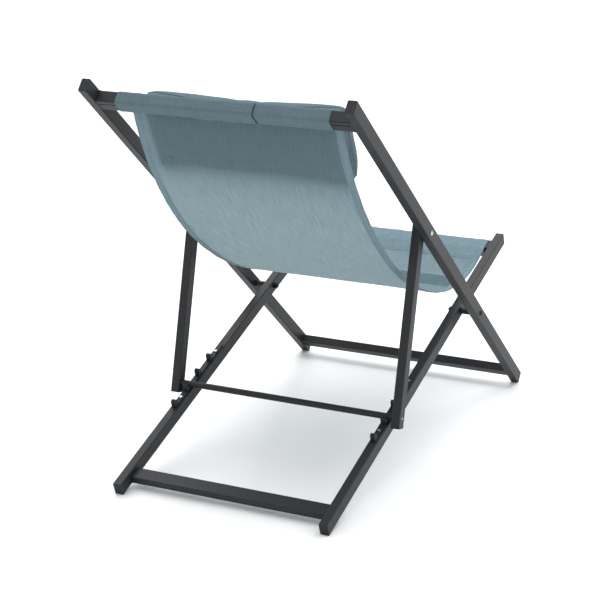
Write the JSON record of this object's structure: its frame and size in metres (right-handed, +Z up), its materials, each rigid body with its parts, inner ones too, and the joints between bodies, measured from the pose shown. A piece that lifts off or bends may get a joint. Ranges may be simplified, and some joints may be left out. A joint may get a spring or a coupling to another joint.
{
  "type": "folding beach chair",
  "caption": "Folding sling deck chair: back frame, seat frame and support frame of rectangular tube, notched racks for the recline, mesh sling and head pillow.",
  "frame": {"origin": "under the middle of the chair's box, on the floor", "axes": "+Z up, -Y the way the sitter faces, +X across the chair to the sitter's left"},
  "size_m": [0.608, 1.0406, 0.8796],
  "materials": {
    "frame": "dark grey powder coat on aluminium tube",
    "plastic": "black moulded plastic",
    "steel": "bright zinc plating",
    "rod": "plain plastic",
    "mesh": "coated mesh weave, grey-blue",
    "pillow": "same mesh over a soft filling"
  },
  "bodies": {
    "seat_frame": {"seat_rail_left": "frame", "seat_rail_right": "frame", "seat_front_bar": "frame", "seat_front_bar_ends": "plastic", "rear_foot_bar": "frame", "rear_foot_bar_ends": "plastic", "seat_rail_caps": "plastic", "rear_foot_plugs": "plastic", "rack_left": "plastic", "rack_right": "plastic", "rack_screws": "steel", "pivot_bolts": "steel", "pivot_spacers": "plastic", "pivot_washers": "steel", "pivot_nuts": "steel", "seat_front_rod": "rod"},
    "back_frame": {"back_rail_left": "frame", "back_rail_right": "frame", "head_bar": "frame", "head_bar_ends": "plastic", "front_foot_bar": "frame", "back_rail_caps": "plastic", "front_foot_plugs": "plastic", "pin_screws": "steel", "sling": "mesh", "head_rod": "rod", "pillow": "pillow", "pillow_strap": "mesh"},
    "support_frame": {"strut_left": "frame", "strut_right": "frame", "strut_bar": "frame", "strut_bar_screws": "steel", "strut_top_plugs": "plastic", "strut_foot_plugs": "plastic", "pin_nuts": "steel"}
  },
  "joints": [
    {"name": "fold", "type": "hinge", "parent": "seat_frame", "child": "back_frame", "pos_m": [0, -0.21064, 0.26618], "axis": [-1, 0, 0], "range_deg": [0, 59.6], "deforming": ["sling", "pillow"]},
    {"name": "strut_swing", "type": "hinge", "parent": "seat_frame", "child": "support_frame", "pos_m": [0, 0.20252, 0.14801], "axis": [-1, 0, 0], "range_deg": [0, 127.1]}
  ],
  "couplings": [
    {"joint": "strut_swing", "follows": "fold", "ratio": 2.1298}
  ]
}
